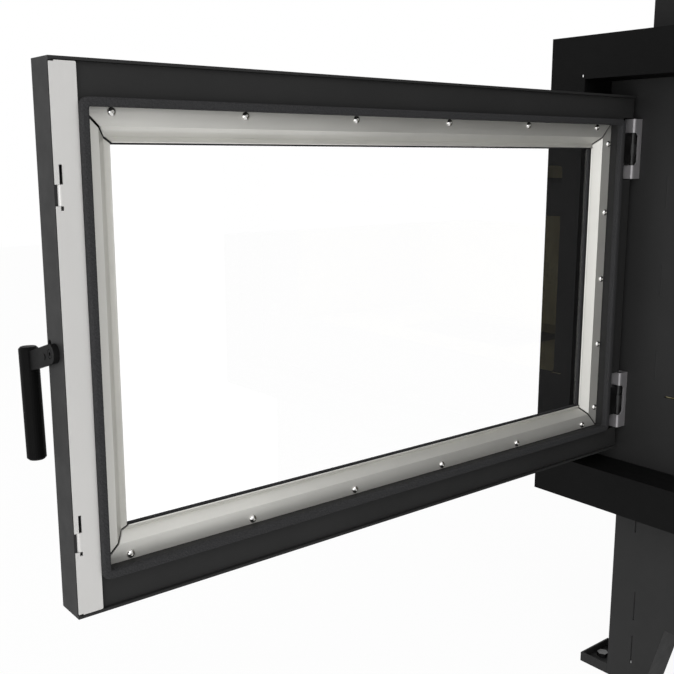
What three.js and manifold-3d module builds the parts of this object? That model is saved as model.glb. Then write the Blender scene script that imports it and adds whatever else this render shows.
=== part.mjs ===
// Fireplace insert: a steel firebox on a pedestal, behind a deep trim frame, with one glazed
// side-hinged door that stands open at right angles. Millimetres, +Z up, +Y into the insert.
// Insert frame: x = 0 on the centre line, y = 0 on the face of the front plate, z = 0 on the floor.
// Door frame: u from the hinge end to the handle end, n towards the fire from the rim plane,
// z up from the door's lower edge. With the door shut, u is +X and n is +Y.
import * as THREE from "three";
import { mergeVertices } from "three/addons/utils/BufferGeometryUtils.js";
import Module from "manifold-3d";

const wasm = await Module();
wasm.setup();

// ---------------------------------------------------------------- driving dimensions
const FIT = 0.3; // gap between pieces that touch
const RUN = 0.6; // running clearance of sliding and turning pieces

// trim frame and front plate
const FRAME_BAND = 64.5;
const FRAME_SHEET = 3;
const FRAME_RETURN = 30; // outer lip folded back towards the wall
const REVEAL_DEPTH = 70; // from the frame's face to the front plate
const REVEAL_GAP = 26; // above and below the closed door
const REVEAL_SIDE_GAP = 53; // beside the closed door: it lets the door stand open inside the reveal
const MITRE_RELIEF = 3.6;
const PLATE_SHEET = 4;
const PLATE_MARGIN = 6; // how far the front plate reaches past the reveal
const MOUTH_HALF_WIDTH = 376;
const MOUTH_SILL = 98; // firebox mouth above the door's lower edge
const MOUTH_HEAD = 454;
const SLOT_WIDTH = 2.6;
const SILL_RELIEF = 16; // slots past the mouth's lower corners
const WALL_SLOT_LENGTH = 47;
const WALL_SLOT_HEIGHTS = [145, 280, 415];

// door
const DOOR_WIDTH = 934.5;
const DOOR_HEIGHT = 560;
const DOOR_DEPTH = 43;
const DOOR_SHEET = 3;
const DOOR_FLOOR_HEIGHT = 414; // lower edge of the door above the floor
const DOOR_BEND = 4;
const PLATE_RECESS = 4; // inner plate below the rim
const PANEL_SHEET = 2;
const PLATE_LIP = 10; // the inner plate's turned edge at the hinge end reaches this far below the rim
const WELL_BORDER = 42; // door edge to the wall of the glass well, top and bottom
const WELL_BORDER_HINGE = 40.7;
const WELL_BORDER_HANDLE = 33.8;
const WELL_DEPTH = 17.7; // ledge of the glass well below the rim plane
const WELL_LEDGE = 13;
const ROPE_OUTSIDE = 6.3; // rope outside the well's wall
const ROPE_INSIDE = 2.7; // and over it
const ROPE_STAND = 6; // rope above the rim plane
const ROPE_CORNER = 10;
const WINDOW_BORDER = 72.4;
const WINDOW_BORDER_HINGE = 63.2;
const WINDOW_BORDER_HANDLE = 55.7;
const WINDOW_RETURN = 8;
const GLASS_THICKNESS = 4;
const GLASS_OVERLAP = 7.5; // glass past the window on each side
const SEAL_WIDTH = 5;

// glass retaining strips
const STRIP_SHEET = 1.5;
const STRIP_FLANGE = 20;
const STRIP_SLOPE_RUN = 9.8;
const STRIP_SLOPE_DROP = 11.1;
const STRIP_LIP_RUN = 4.9;
const STRIP_LIP_RISE = 4;
const MITRE_GAP = 2.6;
const SCREW_INSET = 6;
const SCREW_HEAD = 8;
const SCREW_PITCH_LONG = 157.75;
const SCREW_FIRST_LONG = 68.6; // from the handle end
const SCREW_PITCH_SHORT = 103.85;
const SCREWS_LONG = 6;
const SCREWS_SHORT = 5;

// lock: cover strip, sliding bar, keepers
const COVER_WIDTH = 26.6;
const COVER_INSET = 0.6;
const COVER_END_GAP = 3.9;
const COVER_SHEET = 1.5;
const LOCK_SLIT_AT = 5.1;
const LOCK_SLIT_WIDTH = 3.4;
const LOCK_SLIT_HEIGHT = 18.6;
const LOCK_CHANNEL = 27; // from the handle end to the inner plate's turned edge
const LOCK_RECESS_HEIGHT = 20.5;
const LOCK_RECESS_DEPTH = 3.2;
const LOCK_LIP_RADIUS = 3.2; // the cover's edge is rolled down along the recess
const LOCK_HOLE = 3.2;
const LOCK_HOLE_DROP = 4.2;
const LOCK_SLIT_BOTTOMS = [93, 442.4];
const BAR_THICKNESS = 3.5;
const BAR_WIDTH = 13;
const BAR_FACE = 5.5; // below the rim plane
const KEEPER_THICKNESS = 1.8;
const KEEPER_HEIGHT = 11;
const KEEPER_NOSE = 5;
const KEEPER_REACH = 13; // past the rim plane of the closed door
const KEEPER_FLANGE = 16;
const HANDLE_TRAVEL = (50 * Math.PI) / 180;

// handle
const PIVOT_DEPTH = 20.5; // below the rim plane
const PIVOT_HEIGHT = 277;
const ARM_THICKNESS = 6;
const ARM_WIDTH = 20;
const ARM_DROOP = (16.5 * Math.PI) / 180;
const ARM_REACH = 66;
const DRIVE_RADIUS = 15.8;
const DRIVE_ANGLE = (18.4 * Math.PI) / 180; // below the horizontal at rest
const DRIVE_PIN = 6;
const DRIVE_NOSE = 4; // the drive pin's thinner end, inside the door
const LOCK_BAR_INSET = 60; // lock bar's ends from the door's
const LOCK_TAB_HALF = 9;
const GRIP_DIAMETER = 20.5;
const GRIP_LENGTH = 121;
const GRIP_ABOVE_ARM = 9.4;
const GRIP_LEAN = (2.6 * Math.PI) / 180;
const PIVOT_SCREW = 8;
const PIVOT_HEAD = 9.6;
const PIVOT_HEAD_DEPTH = 3; // sunk flush in the arm

// hinges
const PIN_BEYOND_DOOR = 1.5; // past the hinge end of the door
const PIN_BELOW_RIM = 5.5;
const PIN_DIAMETER = 8;
const BRACKET_HEIGHT = 90.5;
const BRACKET_WIDTH = 20;
const BRACKET_STAND = 19.8; // from the front plate
const BRACKET_SHEET = 3;
const BRACKET_SIDE = 7.8; // pin to the outer side of the bracket
const HINGE_HEIGHTS = [79.7, 480.3];
const HINGE_WINDOW = 49.5;
const LUG_HEIGHT = 45;
const KNUCKLE_HEIGHT = 15;
const KNUCKLE_DIAMETER = 12;
const LUG_THICKNESS = 3;
const LUG_BEND = 6;
const NOTCH_LENGTH = 26.5;
const NOTCH_DEPTH = 22;
const NOTCH_HEIGHT = 93;

// firebox, jacket and flue
const WALL_AT = 410.65; // centre plane of the firebox side walls
const WALL_SHEET = 3;
const FIREBOX_DEPTH = 440;
const FIREBOX_BELOW_PLATE = 3; // its top below the front plate's
const DOME_HEIGHT = 187;
const DOME_TOP_HALF = 112;
const LINING = 25;
const LINING_ABOVE_MOUTH = 32;
const HEARTH_BOARD = 30;
const HEARTH_BELOW_SILL = 8; // hearth board's top below the mouth's sill
const JACKET_HALF_WIDTH = 453;
const JACKET_SHEET = 2;
const JACKET_OVERHANG = 10; // past the back of the pedestal
const JACKET_ABOVE_DOME = 94;
const FLUE_DIAMETER = 180;
const FLUE_SHEET = 3;
const FLUE_STAND = 60; // collar above the jacket
const FLUE_AT = 250; // centre of the flue behind the front plate
const BAFFLE_SLOPE = 0.16;
const DEFLECTOR_DROP = 22; // below the mouth's head
const DEFLECTOR_HEIGHT = 67;
const DEFLECTOR_STAND = 40; // behind the front plate
const DEFLECTOR_FLANGE = 12;
const DEFLECTOR_SHEET = 2;
const GRATE_LENGTH = 320;
const GRATE_WIDTH = 200;
const GRATE_BARS = 11;
const GRATE_THICKNESS = 14;
const PAN_HEIGHT = 42;

// pedestal
const BASE_HALF_WIDTH = 466.75;
const BASE_SHEET = 3;
const BASE_BEYOND_FIREBOX = 30;
const ARCH_HEIGHT = 123;
const LEG_FOOT = 70; // leg width on the floor
const LEG_HEAD = 103.5; // leg width under the apron
const LEG_FLANGE = 60;
const FOOT_WIDTH = 55;
const FOOT_LENGTH = 80;
const FOOT_LIP = 16;
const FOOT_SHEET = 3;
const FOOT_BOLT = 12;

// air control
const AIR_TRAVEL = 44; // the lever stands at the open end of its travel
const AIR_PORT = 44;
const AIR_PORT_DEPTH = 40;
const AIR_PORT_PITCH = 90;
const AIR_PORT_AT = 40; // from the air box's front edge
const AIR_BOX_HALF = 162;
const AIR_BOX_DEPTH = 150;
const AIR_BOX_SHEET = 2;
const AIR_BOX_STAND = 4; // above the pedestal's deck
const AIR_BOX_ABOVE_LEVER = 12;
const AIR_SLIDE_DEPTH = 60;
const LEVER_WIDTH = 18;
const LEVER_BELOW_DOOR = 14;
const LEVER_REACH = 46;
const KNOB_DIAMETER = 20;
const SPIGOT_DIAMETER = 125;
const SPIGOT_LENGTH = 60;
const SPIGOT_FLANGE = 8;
const INLET_AT = 76; // centre of the air inlet from the air box's front edge

// ---------------------------------------------------------------- derived places
const doorShutLeft = -DOOR_WIDTH / 2; // hinge end of the shut door
const pinX = doorShutLeft - PIN_BEYOND_DOOR;
const shutRim = -ROPE_STAND - FIT; // rim plane of the shut door, its rope against the front plate
const pinY = shutRim - PIN_BELOW_RIM;
const revealHalfWidth = -doorShutLeft + REVEAL_SIDE_GAP;
const revealBottom = DOOR_FLOOR_HEIGHT - REVEAL_GAP;
const revealTop = DOOR_FLOOR_HEIGHT + DOOR_HEIGHT + REVEAL_GAP;
const plateBottom = revealBottom - PLATE_MARGIN;
const plateTop = revealTop + PLATE_MARGIN;
const mouthBottom = DOOR_FLOOR_HEIGHT + MOUTH_SILL;
const mouthTop = DOOR_FLOOR_HEIGHT + MOUTH_HEAD;
const shellFace = -DOOR_DEPTH; // outer face of the door, along n
const leverZ = DOOR_FLOOR_HEIGHT - LEVER_BELOW_DOOR;
const leverX = -AIR_TRAVEL / 2;
const inletY = PLATE_SHEET + FIT + INLET_AT;
const HEARTH_HEIGHT = mouthBottom - HEARTH_BELOW_SILL - HEARTH_BOARD;
const LINING_TOP = mouthTop + LINING_ABOVE_MOUTH;
const FIREBOX_TOP = plateTop - FIREBOX_BELOW_PLATE;
const DOME_TOP = FIREBOX_TOP + DOME_HEIGHT;
const JACKET_TOP = DOME_TOP + JACKET_ABOVE_DOME;
const FLUE_TOP = JACKET_TOP + FLUE_STAND;
const BASE_DEPTH = FIREBOX_DEPTH + BASE_BEYOND_FIREBOX;
const JACKET_DEPTH = BASE_DEPTH + JACKET_OVERHANG;
const liningFace = WALL_AT - WALL_SHEET / 2 - FIT - LINING;

// ---------------------------------------------------------------- solids
function toSolid(geometry) {
  const bare = geometry.index ? geometry.toNonIndexed() : geometry.clone();
  for (const name of Object.keys(bare.attributes))
    if (name !== "position") bare.deleteAttribute(name);
  const merged = mergeVertices(bare, 1e-4);
  return new wasm.Manifold(
    new wasm.Mesh({
      numProp: 3,
      vertProperties: new Float32Array(merged.attributes.position.array),
      triVerts: new Uint32Array(merged.index.array),
    }),
  );
}

function toGeometry(solid) {
  const mesh = solid.getMesh();
  const geometry = new THREE.BufferGeometry();
  geometry.setAttribute("position", new THREE.BufferAttribute(mesh.vertProperties, 3));
  geometry.setIndex(new THREE.BufferAttribute(mesh.triVerts, 1));
  return geometry;
}

const join = (...solids) => solids.reduce((a, b) => a.add(b));
const cut = (body, ...tools) => tools.reduce((a, b) => a.subtract(b), body);

function block(x0, x1, y0, y1, z0, z1) {
  const geometry = new THREE.BoxGeometry(x1 - x0, y1 - y0, z1 - z0);
  geometry.translate((x0 + x1) / 2, (y0 + y1) / 2, (z0 + z1) / 2);
  return toSolid(geometry);
}

// The outline's corners rounded by radius, as a THREE.Shape.
function outline(points, radius = 0) {
  const shape = new THREE.Shape();
  const count = points.length;
  points.forEach((corner, i) => {
    const at = new THREE.Vector2(...corner);
    const before = new THREE.Vector2(...points[(i + count - 1) % count]);
    const after = new THREE.Vector2(...points[(i + 1) % count]);
    const r = Array.isArray(radius) ? radius[i] : radius;
    const start = at.clone().add(before.clone().sub(at).setLength(r));
    const end = at.clone().add(after.clone().sub(at).setLength(r));
    if (i === 0) shape.moveTo(start.x, start.y);
    else shape.lineTo(start.x, start.y);
    if (r > 0) shape.quadraticCurveTo(at.x, at.y, end.x, end.y);
  });
  shape.closePath();
  return shape;
}

const rectangle = (x0, x1, y0, y1) => [
  [x0, y0],
  [x1, y0],
  [x1, y1],
  [x0, y1],
];

// A flat shape with thickness: drawn in the named plane and extruded along the third axis.
function prism(shape, plane, from, to, curveSegments = 4) {
  const geometry = new THREE.ExtrudeGeometry(shape, {
    depth: to - from,
    bevelEnabled: false,
    curveSegments,
  });
  if (plane === "xy") geometry.translate(0, 0, from);
  if (plane === "xz") {
    geometry.rotateX(Math.PI / 2);
    geometry.translate(0, to, 0);
  }
  if (plane === "yz") {
    geometry.applyMatrix4(new THREE.Matrix4().set(0, 0, 1, from, 1, 0, 0, 0, 0, 1, 0, 0, 0, 0, 0, 1));
  }
  return toSolid(geometry);
}

// A round bar or disc between two places on an axis.
function bar(axis, radius, a, b, from, to, sides = 20, endRadius = radius) {
  const geometry = new THREE.CylinderGeometry(endRadius, radius, to - from, sides);
  geometry.translate(0, (to - from) / 2, 0);
  if (axis === "z") {
    geometry.rotateX(Math.PI / 2);
    geometry.translate(a, b, from);
  }
  if (axis === "y") geometry.translate(a, from, b);
  if (axis === "x") {
    geometry.rotateZ(-Math.PI / 2);
    geometry.translate(from, a, b);
  }
  return toSolid(geometry);
}

// A bent sheet's section: the path offset to one side by the sheet's thickness.
function sheetSection(path, thickness) {
  const side = path.map((point, i) => {
    const before = path[Math.max(i - 1, 0)];
    const after = path[Math.min(i + 1, path.length - 1)];
    const inward = new THREE.Vector2(point[0] - before[0], point[1] - before[1]);
    const outward = new THREE.Vector2(after[0] - point[0], after[1] - point[1]);
    if (inward.length() === 0) inward.copy(outward);
    if (outward.length() === 0) outward.copy(inward);
    inward.normalize();
    outward.normalize();
    const normal = new THREE.Vector2(inward.y + outward.y, -inward.x - outward.x).normalize();
    const stretch = thickness / Math.sqrt((1 + inward.dot(outward)) / 2);
    return [point[0] + normal.x * stretch, point[1] + normal.y * stretch];
  });
  return [...path, ...side.reverse()];
}

// ---------------------------------------------------------------- materials
function finish(color, roughness, metalness, extra = {}) {
  return new THREE.MeshStandardMaterial({ color, roughness, metalness, ...extra });
}
const blackPaint = finish(0x1c1c1c, 0.7, 0.1);
const greyPaint = finish(0x2d2d2d, 0.65, 0.1);
const plateSteel = finish(0x2a2a2a, 0.6, 0.3);
const zinc = finish(0xc8c6c4, 0.45, 0.8);
const hingeSteel = finish(0x5c5a5b, 0.45, 0.8);
const gasketRope = finish(0x333333, 0.95, 0);
const clearGlass = finish(0xdfe6e4, 0.05, 0, { transparent: true, opacity: 0.18 });
const vermiculite = finish(0xa39c7a, 0.95, 0);
const castIron = finish(0x232323, 0.75, 0.5);
const gripBlack = finish(0x141414, 0.6, 0.1);

const part = new THREE.Group();
const doorGroup = new THREE.Group();
const doorLeaf = new THREE.Group();
doorGroup.position.set(pinX, pinY, DOOR_FLOOR_HEIGHT);
doorGroup.rotation.z = -Math.PI / 2;
doorLeaf.position.set(PIN_BEYOND_DOOR, PIN_BELOW_RIM, 0);
doorGroup.add(doorLeaf);
part.add(doorGroup);

function place(parent, name, solid, material) {
  const mesh = new THREE.Mesh(toGeometry(solid), material);
  mesh.name = name;
  parent.add(mesh);
  return mesh;
}

// ---------------------------------------------------------------- trim frame and front plate
function trimFrame() {
  const outer = revealHalfWidth + FRAME_BAND;
  const low = revealBottom - FRAME_BAND;
  const high = revealTop + FRAME_BAND;
  const face = -REVEAL_DEPTH;
  const band = cut(
    block(-outer, outer, face, face + FRAME_RETURN, low, high),
    block(
      -outer + FRAME_SHEET,
      outer - FRAME_SHEET,
      face + FRAME_SHEET,
      face + FRAME_RETURN + 1,
      low + FRAME_SHEET,
      high - FRAME_SHEET,
    ),
  );
  const wall = FRAME_SHEET;
  const reveal = block(
    -revealHalfWidth - wall,
    revealHalfWidth + wall,
    face,
    -FIT,
    revealBottom - wall,
    revealTop + wall,
  );
  const opening = block(-revealHalfWidth, revealHalfWidth, face - 1, 1, revealBottom, revealTop);
  const reliefs = [-1, 1].flatMap((side) =>
    [revealBottom - wall - MITRE_RELIEF, revealTop + wall].map((z) => {
      const x = side * (revealHalfWidth + wall);
      const [x0, x1] = side < 0 ? [x - MITRE_RELIEF, x] : [x, x + MITRE_RELIEF];
      return block(x0, x1, face - 1, face + FRAME_SHEET + 1, z, z + MITRE_RELIEF);
    }),
  );
  return cut(join(band, reveal), opening, ...reliefs);
}

function frontPlate() {
  const half = revealHalfWidth + PLATE_MARGIN;
  const plate = block(-half, half, 0, PLATE_SHEET, plateBottom, plateTop);
  const mouth = prism(
    outline(rectangle(-MOUTH_HALF_WIDTH, MOUTH_HALF_WIDTH, mouthBottom, mouthTop), 8),
    "xz",
    -1,
    PLATE_SHEET + 1,
  );
  const slots = [-1, 1].flatMap((side) =>
    WALL_SLOT_HEIGHTS.map((height) => {
      const x = side * WALL_AT;
      const z = DOOR_FLOOR_HEIGHT + height;
      return block(
        x - SLOT_WIDTH / 2 - FIT,
        x + SLOT_WIDTH / 2 + FIT,
        -1,
        PLATE_SHEET + 1,
        z - WALL_SLOT_LENGTH / 2 - FIT,
        z + WALL_SLOT_LENGTH / 2 + FIT,
      );
    }),
  );
  const slotHalf = (AIR_TRAVEL + LEVER_WIDTH) / 2 + 4;
  const leverSlot = block(-slotHalf, slotHalf, -1, PLATE_SHEET + 1, leverZ - 4, leverZ + 4);
  const reliefs = [-1, 1].map((side) => {
    const [a, b] = [side * (MOUTH_HALF_WIDTH - 6), side * (MOUTH_HALF_WIDTH + SILL_RELIEF)].sort((p, q) => p - q);
    return block(a, b, -1, PLATE_SHEET + 1, mouthBottom - SLOT_WIDTH, mouthBottom + 0.2);
  });
  return cut(plate, mouth, leverSlot, ...slots, ...reliefs);
}

// ---------------------------------------------------------------- firebox, jacket and flue
function fireboxShell() {
  const inner = WALL_AT - WALL_SHEET / 2;
  const outer = WALL_AT + WALL_SHEET / 2;
  const front = PLATE_SHEET + FIT;
  const path = [
    [-outer, front],
    [-outer, FIREBOX_DEPTH],
    [outer, FIREBOX_DEPTH],
    [outer, front],
    [inner, front],
    [inner, FIREBOX_DEPTH - WALL_SHEET],
    [-inner, FIREBOX_DEPTH - WALL_SHEET],
    [-inner, front],
  ];
  const shell = prism(outline(path), "xy", HEARTH_HEIGHT, FIREBOX_TOP);
  const tabs = [-1, 1].flatMap((side) =>
    WALL_SLOT_HEIGHTS.map((height) => {
      const z = DOOR_FLOOR_HEIGHT + height;
      const reach = side * WALL_AT;
      return block(
        reach - SLOT_WIDTH / 2,
        reach + SLOT_WIDTH / 2,
        FIT,
        front + 1,
        z - WALL_SLOT_LENGTH / 2,
        z + WALL_SLOT_LENGTH / 2,
      );
    }),
  );
  return join(shell, ...tabs);
}

function hearthPlate() {
  const half = WALL_AT + WALL_SHEET / 2;
  const front = PLATE_SHEET + FIT;
  const top = HEARTH_HEIGHT - FIT;
  const plate = block(-half, half, front, FIREBOX_DEPTH, top - WALL_SHEET, top);
  const panHalf = GRATE_LENGTH / 2 - 4;
  const panDeep = GRATE_WIDTH / 2 - 4;
  const middle = FLUE_AT - 20;
  const wellTop = top - WALL_SHEET + 1;
  const well = cut(
    block(-panHalf - 3, panHalf + 3, middle - panDeep - 3, middle + panDeep + 3, wellTop - PAN_HEIGHT - 8, wellTop),
    block(-panHalf, panHalf, middle - panDeep, middle + panDeep, wellTop - PAN_HEIGHT - 5, wellTop + 1),
  );
  const hole = block(-panHalf, panHalf, middle - panDeep, middle + panDeep, top - WALL_SHEET - 1, top + 1);
  return cut(join(plate, well), hole);
}

function ashPan() {
  const gap = 3;
  const half = GRATE_LENGTH / 2 - 4 - gap;
  const deep = GRATE_WIDTH / 2 - 4 - gap;
  const middle = FLUE_AT - 20;
  const bottom = HEARTH_HEIGHT - FIT - WALL_SHEET + 1 - PAN_HEIGHT - 5 + FIT;
  const wall = 1.5;
  return cut(
    block(-half, half, middle - deep, middle + deep, bottom, bottom + PAN_HEIGHT),
    block(-half + wall, half - wall, middle - deep + wall, middle + deep - wall, bottom + wall, bottom + PAN_HEIGHT + 1),
  );
}

function hearthBoard() {
  const half = WALL_AT - WALL_SHEET / 2 - FIT;
  const bottom = HEARTH_HEIGHT;
  const middle = FLUE_AT - 20;
  const board = block(-half, half, PLATE_SHEET + 2 * FIT, FIREBOX_DEPTH - WALL_SHEET - FIT, bottom, bottom + HEARTH_BOARD);
  const seatHalf = GRATE_LENGTH / 2 + FIT;
  const seatDeep = GRATE_WIDTH / 2 + FIT;
  const through = block(-seatHalf + 8, seatHalf - 8, middle - seatDeep + 8, middle + seatDeep - 8, bottom - 1, bottom + HEARTH_BOARD + 1);
  const seat = block(-seatHalf, seatHalf, middle - seatDeep, middle + seatDeep, bottom + HEARTH_BOARD - GRATE_THICKNESS - FIT, bottom + HEARTH_BOARD + 1);
  return cut(board, through, seat);
}

function fireGrate() {
  const top = HEARTH_HEIGHT + HEARTH_BOARD;
  const middle = FLUE_AT - 20;
  const rim = 10;
  const body = block(-GRATE_LENGTH / 2, GRATE_LENGTH / 2, middle - GRATE_WIDTH / 2, middle + GRATE_WIDTH / 2, top - GRATE_THICKNESS, top);
  const inside = GRATE_LENGTH - 2 * rim;
  const pitch = inside / GRATE_BARS;
  const gap = pitch * 0.45;
  const slots = Array.from({ length: GRATE_BARS }, (_, i) => {
    const x = -inside / 2 + (i + 0.5) * pitch;
    return prism(
      outline(rectangle(x - gap / 2, x + gap / 2, middle - GRATE_WIDTH / 2 + rim, middle + GRATE_WIDTH / 2 - rim), gap * 0.45),
      "xy",
      top - GRATE_THICKNESS - 1,
      top + 1,
      2,
    );
  });
  return cut(body, ...slots);
}

function sideLining(side) {
  const x0 = liningFace;
  const x1 = liningFace + LINING;
  const z0 = HEARTH_HEIGHT + HEARTH_BOARD + FIT;
  const [a, b] = side < 0 ? [-x1, -x0] : [x0, x1];
  return block(a, b, PLATE_SHEET + 2 * FIT, FIREBOX_DEPTH - WALL_SHEET - 2 * FIT - LINING, z0, LINING_TOP);
}

function backLining() {
  const half = WALL_AT - WALL_SHEET / 2 - FIT;
  const y1 = FIREBOX_DEPTH - WALL_SHEET - FIT;
  const z0 = HEARTH_HEIGHT + HEARTH_BOARD + FIT;
  const board = block(-half, half, y1 - LINING, y1, z0, LINING_TOP);
  const holes = Array.from({ length: 9 }, (_, i) => {
    const x = (i - 4) * 80;
    return bar("y", 5, x, z0 + 260, y1 - LINING - 1, y1 + 1, 8);
  });
  return cut(board, ...holes);
}

// The baffle board lies on the linings and slopes up towards the front.
function baffleBoard() {
  const half = WALL_AT - WALL_SHEET / 2 - FIT - 1;
  const y0 = 90;
  const y1 = FIREBOX_DEPTH - WALL_SHEET - FIT - 1;
  const z1 = LINING_TOP + FIT;
  const rise = (y1 - y0) * BAFFLE_SLOPE;
  const shape = outline([
    [y0, z1 + rise],
    [y1 - LINING, z1 + LINING * BAFFLE_SLOPE],
    [y1 - LINING, z1],
    [y1, z1],
    [y1, z1 + LINING],
    [y0, z1 + rise + LINING],
  ]);
  const board = prism(shape, "yz", -half, half);
  const cheeks = [-1, 1].map((side) => {
    const [a, b] = side < 0 ? [-half, -half + 14] : [half - 14, half];
    return prism(
      outline([
        [y0 + 40, z1],
        [y1, z1],
        [y1, z1 + 8],
        [y0 + 40, z1 + rise],
      ]),
      "yz",
      a,
      b,
    );
  });
  return join(board, ...cheeks);
}

// The flame deflector: a folded plate hung across the mouth from the back of the front plate.
function flameDeflector() {
  const half = liningFace - 6;
  const y1 = PLATE_SHEET + DEFLECTOR_STAND;
  const low = mouthTop - DEFLECTOR_DROP - DEFLECTOR_HEIGHT;
  const high = mouthTop - DEFLECTOR_DROP;
  const plate = prism(
    outline(
      sheetSection(
        [
          [y1 + DEFLECTOR_FLANGE, low],
          [y1, low + 8],
          [y1, high - 8],
          [y1 + DEFLECTOR_FLANGE, high],
        ],
        DEFLECTOR_SHEET,
      ),
    ),
    "yz",
    -half,
    half,
  );
  const hangers = [-1, 1].map((side) => {
    const [a, b] = side < 0 ? [-half, -half + 3] : [half - 3, half];
    return prism(
      outline([
        [y1 - 1, low + 12],
        [y1 + 6, low + 12],
        [y1 + 6, mouthTop + 26],
        [PLATE_SHEET + FIT, mouthTop + 44],
        [PLATE_SHEET + FIT, mouthTop + 14],
        [y1 - 8, mouthTop + 8],
      ]),
      "yz",
      a,
      b,
    );
  });
  return join(plate, ...hangers);
}

// The smoke dome: four sloping sides drawn in to the flue.
function smokeDome() {
  const low = FIREBOX_TOP + FIT;
  const hip = (inset) => {
    const half = WALL_AT + WALL_SHEET / 2 - inset;
    const front = PLATE_SHEET + FIT + inset;
    const back = FIREBOX_DEPTH - inset;
    const across = prism(
      outline([
        [-half, low - (inset > 0 ? 1 : 0)],
        [half, low - (inset > 0 ? 1 : 0)],
        [half, low + 20],
        [DOME_TOP_HALF - inset, DOME_TOP - inset],
        [-DOME_TOP_HALF + inset, DOME_TOP - inset],
        [-half, low + 20],
      ]),
      "xz",
      front,
      back,
    );
    const along = prism(
      outline([
        [front, low - 2],
        [back, low - 2],
        [back, low + 20],
        [FLUE_AT + DOME_TOP_HALF - inset, DOME_TOP - inset],
        [FLUE_AT - DOME_TOP_HALF + inset, DOME_TOP - inset],
        [front, low + 20],
      ]),
      "yz",
      -half,
      half,
    );
    return across.intersect(along);
  };
  const mouth = bar("z", FLUE_DIAMETER / 2 - FLUE_SHEET, 0, FLUE_AT, DOME_TOP - 10, DOME_TOP + 1, 48);
  return cut(hip(0), hip(WALL_SHEET), mouth);
}

function flueCollar() {
  const r = FLUE_DIAMETER / 2;
  const z0 = DOME_TOP + FIT;
  const profile = [
    [r - FLUE_SHEET, z0],
    [r + 16, z0],
    [r + 16, z0 + 3],
    [r, z0 + 3],
    [r, FLUE_TOP - 22],
    [r + 2.5, FLUE_TOP - 20],
    [r, FLUE_TOP - 18],
    [r - 2, FLUE_TOP],
    [r - FLUE_SHEET - 2, FLUE_TOP],
    [r - FLUE_SHEET, FLUE_TOP - 18],
  ].map(([x, y]) => new THREE.Vector2(x, y));
  profile.push(profile[0].clone());
  const geometry = new THREE.LatheGeometry(profile, 48);
  geometry.rotateX(Math.PI / 2);
  geometry.translate(0, FLUE_AT, 0);
  let solid = toSolid(geometry);
  if (solid.volume() < 0) {
    geometry.index.array.reverse();
    solid = toSolid(geometry);
  }
  return solid;
}

function jacketWrap() {
  const outer = JACKET_HALF_WIDTH;
  const inner = outer - JACKET_SHEET;
  const flange = 24;
  const y0 = PLATE_SHEET + FIT;
  const path = [
    [-outer + flange, y0],
    [-outer, y0],
    [-outer, JACKET_DEPTH],
    [outer, JACKET_DEPTH],
    [outer, y0],
    [outer - flange, y0],
    [outer - flange, y0 + JACKET_SHEET],
    [inner, y0 + JACKET_SHEET],
    [inner, JACKET_DEPTH - JACKET_SHEET],
    [-inner, JACKET_DEPTH - JACKET_SHEET],
    [-inner, y0 + JACKET_SHEET],
    [-outer + flange, y0 + JACKET_SHEET],
  ];
  const wrap = prism(outline(path), "xy", plateBottom + FIT, JACKET_TOP);
  const vents = Array.from({ length: 11 }, (_, i) => {
    const x = (i - 5) * 70;
    return prism(
      outline(rectangle(x - 5, x + 5, JACKET_TOP - 130, JACKET_TOP - 50), 4.5),
      "xz",
      JACKET_DEPTH - JACKET_SHEET - 1,
      JACKET_DEPTH + 1,
      2,
    );
  });
  return cut(wrap, ...vents);
}

function jacketFront() {
  const outer = JACKET_HALF_WIDTH;
  const z0 = plateTop + FIT;
  const y0 = PLATE_SHEET - JACKET_SHEET;
  const sheet = block(-outer, outer, y0, y0 + JACKET_SHEET, z0, JACKET_TOP);
  const vents = Array.from({ length: 13 }, (_, i) => {
    const x = (i - 6) * 60;
    return prism(outline(rectangle(x - 21, x + 21, JACKET_TOP - 92, JACKET_TOP - 80), 5), "xz", y0 - 1, PLATE_SHEET + 1, 2);
  });
  return cut(sheet, ...vents);
}

function jacketTop() {
  const outer = JACKET_HALF_WIDTH;
  const z0 = JACKET_TOP + FIT;
  const lip = 12;
  const y0 = PLATE_SHEET - JACKET_SHEET;
  const lid = block(-outer, outer, y0, JACKET_DEPTH, z0, z0 + JACKET_SHEET);
  const hole = bar("z", FLUE_DIAMETER / 2 + lip, 0, FLUE_AT, z0 - 1, z0 + JACKET_SHEET + 1, 48);
  return cut(lid, hole);
}

// ---------------------------------------------------------------- pedestal
function legOutline(half, top) {
  return outline([
    [-half, 0],
    [-half + LEG_FOOT, 0],
    [-half + LEG_HEAD, ARCH_HEIGHT],
    [half - LEG_HEAD, ARCH_HEIGHT],
    [half - LEG_FOOT, 0],
    [half, 0],
    [half, top],
    [-half, top],
  ]);
}

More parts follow.
